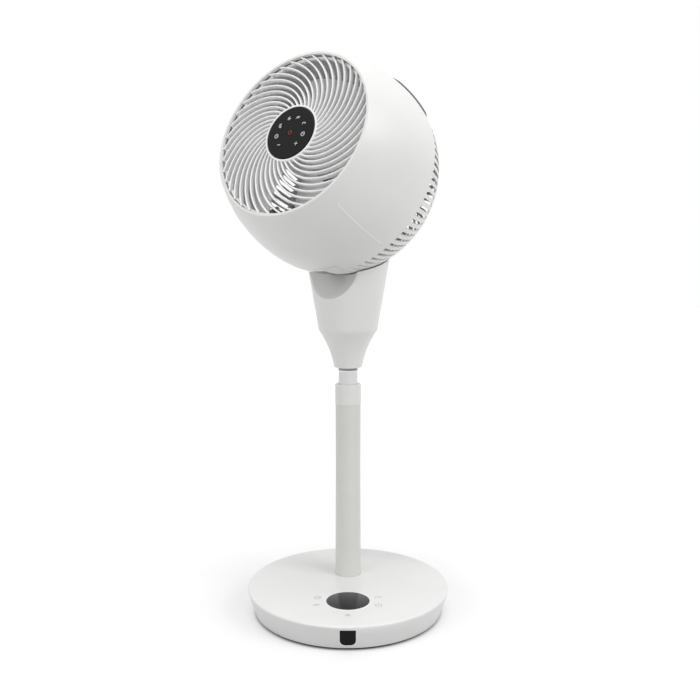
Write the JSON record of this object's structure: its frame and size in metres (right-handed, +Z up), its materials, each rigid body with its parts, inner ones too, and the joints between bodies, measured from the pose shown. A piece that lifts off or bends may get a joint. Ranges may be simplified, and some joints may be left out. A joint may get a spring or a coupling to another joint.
{
  "type": "air circulator fan",
  "caption": "Pedestal air circulator: round base with touch display, telescopic pole, panning neck, tilting round head with spiral grille, handle and docked remote control.",
  "frame": {"origin": "on the floor, on the axis of the round base, at the middle foot's face", "axes": "+Z up along the pole, -Y the base's front with the display, +X the viewer's right from the front"},
  "size_m": [0.3795, 0.3586, 0.928],
  "materials": {
    "housing": "satin moulded, near white",
    "base_top": "satin moulded, near white",
    "grille": "satin moulded, near white",
    "blade": "satin moulded, pale grey",
    "duct": "matt moulded, grey",
    "inner_moulding": "matt moulded",
    "dark_moulding": "matt moulded, black",
    "black_glass": "polished black",
    "sensor_window": "dark tinted",
    "remote_black": "smooth black",
    "key_black": "matt black",
    "pole_paint": "warm grey paint",
    "mast_paint": "pale grey paint",
    "collar": "satin moulded, near white",
    "steel": "zinc plated",
    "ballast": "black paint",
    "cast": "die cast",
    "motor_can": "dark coat",
    "bush": "acetal",
    "gear": "acetal",
    "rubber": "matt",
    "board": "circuit board",
    "cell": "nickel plated"
  },
  "bodies": {
    "base": {"base_cover": "base_top", "ir_window": "sensor_window", "base_plate": "dark_moulding", "base_screws": "steel", "rubber_feet": "rubber", "ballast_plate": "ballast", "display_lens": "black_glass", "main_board": "board", "ir_receiver": "dark_moulding", "dc_inlet": "dark_moulding", "pole_socket": "cast", "pole_bolts": "steel", "outer_tube": "pole_paint", "tube_collar": "collar", "collar_bush": "bush"},
    "mast": {"inner_tube": "mast_paint", "tube_glide": "bush", "pan_spindle": "steel", "thrust_washer": "dark_moulding", "pan_gear": "gear"},
    "neck": {"neck_front_shell": "housing", "neck_rear_shell": "housing", "neck_frame": "inner_moulding", "pan_bushes": "bush", "pan_motor": "motor_can", "tilt_arm": "cast", "neck_screws": "steel", "tilt_bushes": "bush", "tilt_motor": "motor_can"},
    "pan_drive": {"pan_pinion": "gear"},
    "tilt_drive": {"tilt_pinion": "gear"},
    "head": {"drum_shell": "housing", "rear_grille": "housing", "belly_strip": "housing", "handle_pocket": "housing", "carry_handle": "housing", "front_grille": "grille", "fan_duct": "duct", "motor_mount": "inner_moulding", "fan_motor": "motor_can", "tilt_bracket": "cast", "tilt_axle": "steel", "tilt_sector": "gear", "head_screws": "steel"},
    "fan": {"impeller": "blade", "impeller_nut": "dark_moulding", "motor_shaft": "steel"},
    "remote": {"remote_case": "remote_black", "remote_face": "remote_black", "battery": "cell", "battery_cover": "remote_black"},
    "key_power": {"key_power": "key_black"},
    "key_1": {"key_1": "key_black"},
    "key_2": {"key_2": "key_black"},
    "key_3": {"key_3": "key_black"},
    "key_4": {"key_4": "key_black"},
    "key_5": {"key_5": "key_black"},
    "key_6": {"key_6": "key_black"},
    "key_7": {"key_7": "key_black"},
    "key_8": {"key_8": "key_black"}
  },
  "joints": [
    {"name": "lift", "type": "slide", "parent": "base", "child": "mast", "axis": [0, 0, 1], "range_m": [0, 0.16]},
    {"name": "pan", "type": "hinge", "parent": "mast", "child": "neck", "pos_m": [0, 0.047, 0.45], "axis": [0, 0, 1], "range_deg": [-3, 72]},
    {"name": "pan_pinion_turn", "type": "hinge", "parent": "neck", "child": "pan_drive", "pos_m": [0.02308, 0.03114, 0.487], "axis": [0, 0, 1], "range_deg": [-7.5, 180]},
    {"name": "tilt", "type": "hinge", "parent": "neck", "child": "head", "pos_m": [-0.02243, 0.01436, 0.7492], "axis": [-0.8241, 0.5664, 0], "range_deg": [-22.6, 37.4]},
    {"name": "tilt_pinion_turn", "type": "hinge", "parent": "neck", "child": "tilt_drive", "pos_m": [-0.03362, 0.03516, 0.70243], "axis": [-0.8241, 0.5664, 0], "range_deg": [-187, 113]},
    {"name": "fan_spin", "type": "hinge", "parent": "head", "child": "fan", "pos_m": [-0.02243, 0.01436, 0.7492], "axis": [-0.5229, -0.7608, 0.3843], "continuous": true},
    {"name": "remote_lift_out", "type": "slide", "parent": "head", "child": "remote", "axis": [-0.5229, -0.7608, 0.3843], "range_m": [0, 0.04]},
    {"name": "key_power_press", "type": "slide", "parent": "remote", "child": "key_power", "axis": [0.5229, 0.7608, -0.3843], "range_m": [0, 0.0005], "stiffness_N_per_m": 1000},
    {"name": "key_1_press", "type": "slide", "parent": "remote", "child": "key_1", "axis": [0.5229, 0.7608, -0.3843], "range_m": [0, 0.0005], "stiffness_N_per_m": 1000},
    {"name": "key_2_press", "type": "slide", "parent": "remote", "child": "key_2", "axis": [0.5229, 0.7608, -0.3843], "range_m": [0, 0.0005], "stiffness_N_per_m": 1000},
    {"name": "key_3_press", "type": "slide", "parent": "remote", "child": "key_3", "axis": [0.5229, 0.7608, -0.3843], "range_m": [0, 0.0005], "stiffness_N_per_m": 1000},
    {"name": "key_4_press", "type": "slide", "parent": "remote", "child": "key_4", "axis": [0.5229, 0.7608, -0.3843], "range_m": [0, 0.0005], "stiffness_N_per_m": 1000},
    {"name": "key_5_press", "type": "slide", "parent": "remote", "child": "key_5", "axis": [0.5229, 0.7608, -0.3843], "range_m": [0, 0.0005], "stiffness_N_per_m": 1000},
    {"name": "key_6_press", "type": "slide", "parent": "remote", "child": "key_6", "axis": [0.5229, 0.7608, -0.3843], "range_m": [0, 0.0005], "stiffness_N_per_m": 1000},
    {"name": "key_7_press", "type": "slide", "parent": "remote", "child": "key_7", "axis": [0.5229, 0.7608, -0.3843], "range_m": [0, 0.0005], "stiffness_N_per_m": 1000},
    {"name": "key_8_press", "type": "slide", "parent": "remote", "child": "key_8", "axis": [0.5229, 0.7608, -0.3843], "range_m": [0, 0.0005], "stiffness_N_per_m": 1000}
  ],
  "couplings": [
    {"joint": "pan_pinion_turn", "follows": "pan", "ratio": 2.5},
    {"joint": "tilt_pinion_turn", "follows": "tilt", "ratio": -5}
  ]
}
